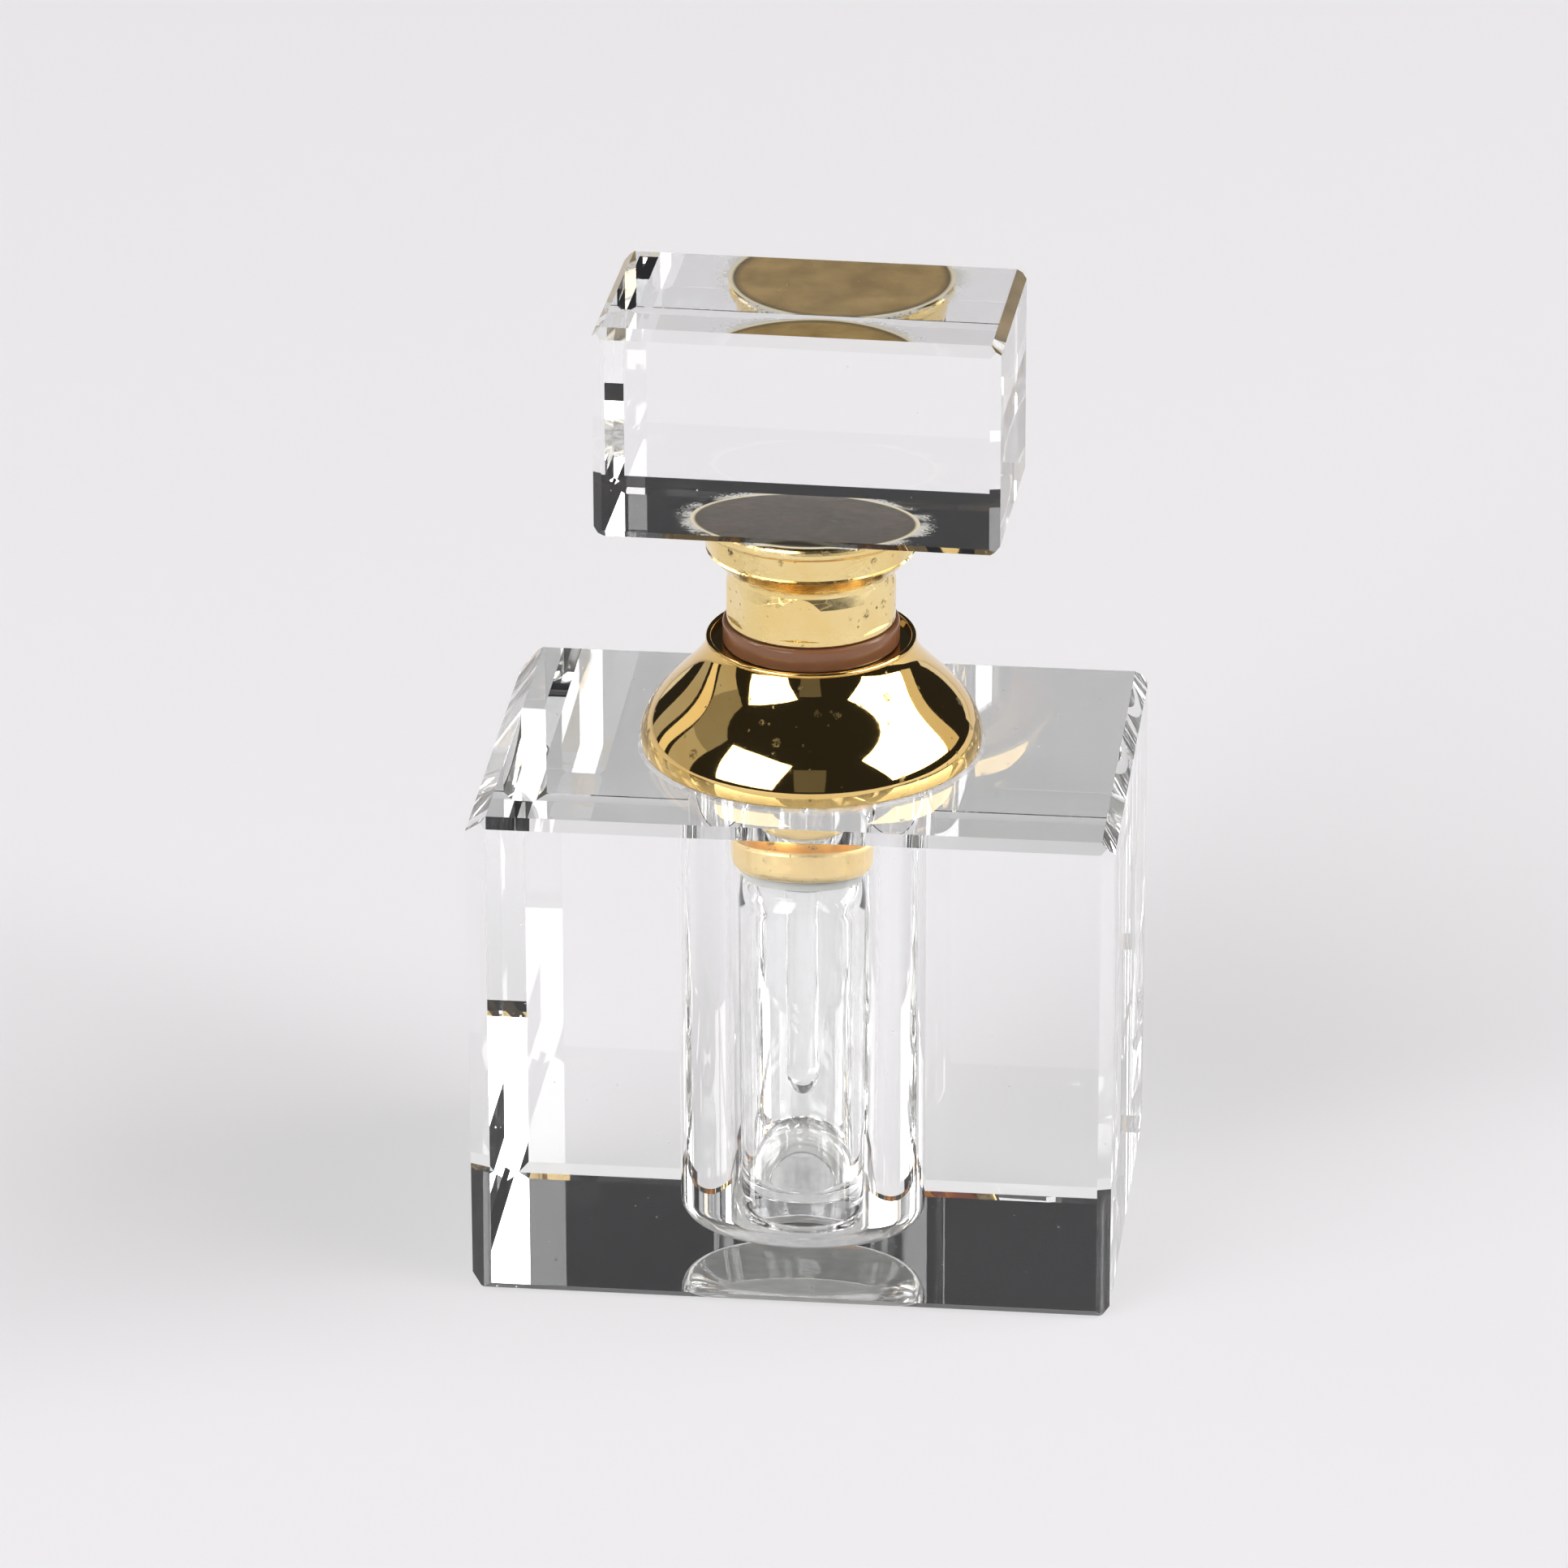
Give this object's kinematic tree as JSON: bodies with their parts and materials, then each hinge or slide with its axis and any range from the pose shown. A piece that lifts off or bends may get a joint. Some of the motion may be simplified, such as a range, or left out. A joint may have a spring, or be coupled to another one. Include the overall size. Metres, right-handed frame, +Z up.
{
  "type": "perfume bottle",
  "caption": "Chamfered crystal perfume bottle with an inner glass vial, a gilt bell, a brown neck collar, and a crystal stopper on a gilt ferrule that carries a glass dip rod.",
  "frame": {"origin": "centre of the body block's underside, where the bottle stands", "axes": "+Z up along the bore and the dip rod, -Y out of the wide front face, +X to the right seen from the front"},
  "size_m": [0.04, 0.028, 0.0618],
  "materials": {
    "crystal": "ground and polished clear crystal with fine scratches",
    "stopper_crystal": "ground and polished clear crystal",
    "vial_glass": "blown clear glass",
    "rod_glass": "fire-polished clear glass rod",
    "bell_gilt": "mirror-polished gilt brass with small tarnish spots",
    "ferrule_gilt": "soft satin gilt with pits along its edges",
    "sleeve_gilt": "satin gilt",
    "collar_brown": "brown lacquered collar with a soft sheen",
    "white_plastic": "soft white polyethylene",
    "plug_plastic": "natural polyethylene",
    "clear_adhesive": "clear cured adhesive"
  },
  "bodies": {
    "bottle": {"body_block": "crystal", "vial": "vial_glass", "vial_gasket": "white_plastic", "neck_sleeve": "sleeve_gilt", "bell": "bell_gilt", "bell_adhesive": "clear_adhesive", "neck_collar": "collar_brown"},
    "dipper": {"inner_plug": "plug_plastic", "dip_rod": "rod_glass", "seal_liner": "white_plastic"},
    "stopper": {"ferrule": "ferrule_gilt", "stopper_adhesive": "clear_adhesive", "stopper_block": "stopper_crystal"}
  },
  "joints": [
    {"name": "stopper_lift", "type": "slide", "parent": "bottle", "child": "dipper", "axis": [0, 0, 1], "range_m": [0, 0.04]},
    {"name": "stopper_turn", "type": "hinge", "parent": "dipper", "child": "stopper", "pos_m": [0, 0, 0.045], "axis": [0, 0, 1], "continuous": true}
  ]
}
